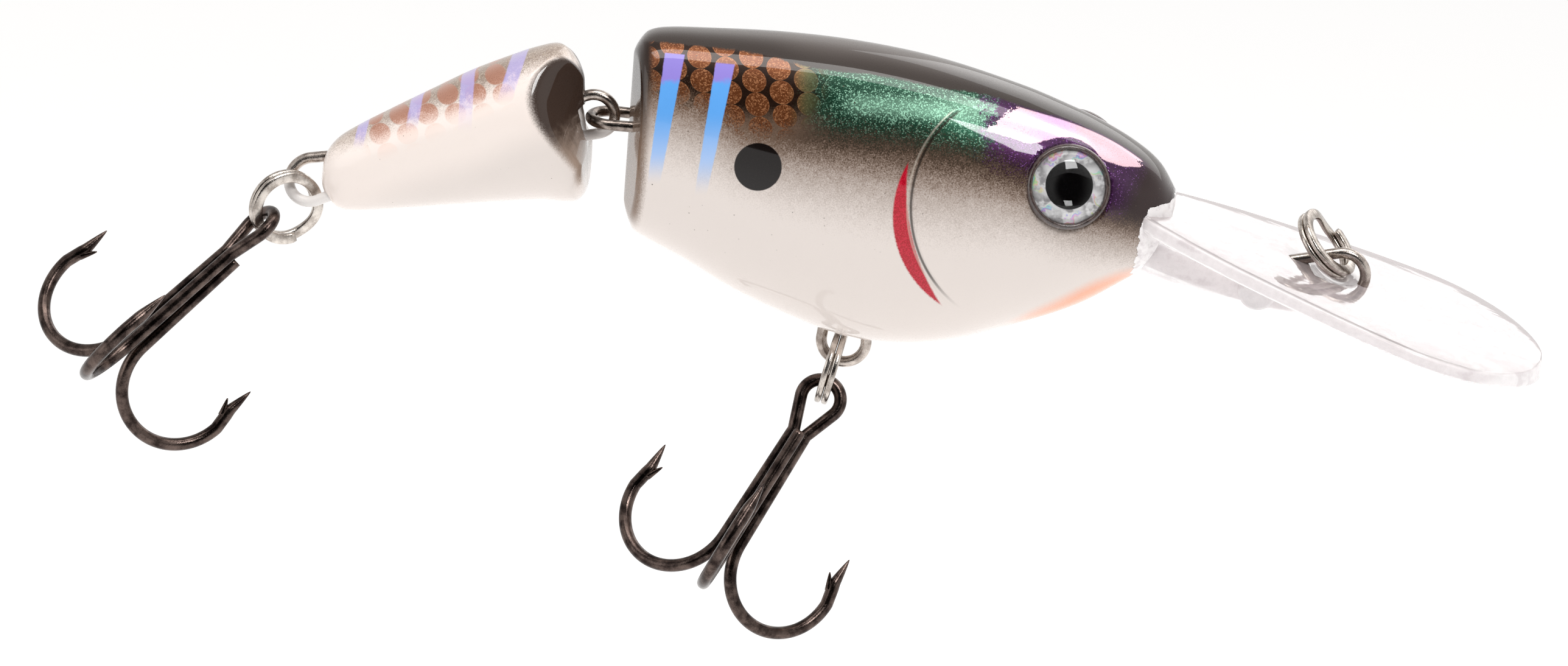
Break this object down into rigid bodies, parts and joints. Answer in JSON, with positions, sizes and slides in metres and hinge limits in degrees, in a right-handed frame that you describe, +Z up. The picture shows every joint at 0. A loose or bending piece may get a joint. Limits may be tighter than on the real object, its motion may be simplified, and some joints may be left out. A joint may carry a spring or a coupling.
{
  "type": "jointed crankbait lure",
  "caption": "Jointed diving fishing lure: a hollow fish-shaped body with a long clear diving lip, a tail that swings on linked wire eyes, and treble hooks on split rings.",
  "frame": {"origin": "centre of the line-tie loop on the diving lip, where the line holds the lure", "axes": "+X forward from tail to lip tip, +Y to the fish's left side, +Z up towards its back"},
  "size_m": [0.1221, 0.0278, 0.0493],
  "materials": {
    "painted_shell": "moulded ABS under airbrushed paint and a glossy clear coat",
    "eye_foil": "holographic silver foil on a plastic disc, black pupil",
    "eye_lens": "clear resin dome",
    "clear_lip": "clear polycarbonate, polished",
    "wire": "smooth stainless wire",
    "ring_wire": "nickel plated flattened steel wire",
    "hook_wire": "black nickel plated steel wire",
    "ballast": "cast metal slug, hidden",
    "rattle": "polished steel ball, hidden"
  },
  "bodies": {
    "front_body": {"front_shell_right": "painted_shell", "front_shell_left": "painted_shell", "diving_lip": "clear_lip", "line_tie_hanger": "wire", "belly_hanger": "wire", "joint_hanger_front": "wire", "ballast_weight": "ballast", "eye_disc_right": "eye_foil", "eye_disc_left": "eye_foil", "eye_lens_right": "eye_lens", "eye_lens_left": "eye_lens"},
    "tail": {"tail_shell_right": "painted_shell", "tail_shell_left": "painted_shell", "joint_hanger_tail": "wire", "tail_hanger": "wire"},
    "line_tie_ring": {"line_tie_ring": "ring_wire"},
    "belly_ring": {"belly_ring": "ring_wire"},
    "belly_treble": {"belly_treble_double": "hook_wire", "belly_treble_single": "hook_wire"},
    "tail_ring": {"tail_ring": "ring_wire"},
    "tail_treble": {"tail_treble_double": "hook_wire", "tail_treble_single": "hook_wire"},
    "rattle_ball_rear": {"rattle_ball_rear": "rattle"},
    "rattle_ball_front": {"rattle_ball_front": "rattle"}
  },
  "joints": [
    {"name": "tail_yaw", "type": "hinge", "parent": "front_body", "child": "tail", "pos_m": [-0.05985, 0, 0.0068], "axis": [0, 0, 1], "range_deg": [-40, 40]},
    {"name": "line_tie_ring_swing", "type": "hinge", "parent": "front_body", "child": "line_tie_ring", "pos_m": [0.0002, 0, 0.0003], "axis": [0, 1, 0], "range_deg": [-10, 85]},
    {"name": "belly_ring_swing", "type": "hinge", "parent": "front_body", "child": "belly_ring", "pos_m": [-0.0398, 0, -0.01193], "axis": [1, 0, 0], "range_deg": [-50, 50]},
    {"name": "belly_treble_swing", "type": "hinge", "parent": "belly_ring", "child": "belly_treble", "pos_m": [-0.04115, -0.00118, -0.01481], "axis": [-0.0928, 0.8949, -0.4364], "range_deg": [-90, 45]},
    {"name": "tail_ring_swing", "type": "hinge", "parent": "tail", "child": "tail_ring", "pos_m": [-0.08402, 0, -0.00112], "axis": [-0.1962, -0.8192, 0.539], "range_deg": [-60, 15]},
    {"name": "tail_treble_swing", "type": "hinge", "parent": "tail_ring", "child": "tail_treble", "pos_m": [-0.08773, -0.00215, -0.00472], "axis": [0.4589, 0.265, -0.848], "range_deg": [-60, 60]},
    {"name": "rattle_ball_rear_slide", "type": "slide", "parent": "front_body", "child": "rattle_ball_rear", "axis": [1, 0, 0], "range_m": [-0.0012, 0.0012]},
    {"name": "rattle_ball_front_slide", "type": "slide", "parent": "front_body", "child": "rattle_ball_front", "axis": [1, 0, 0], "range_m": [-0.0012, 0.0012]}
  ]
}
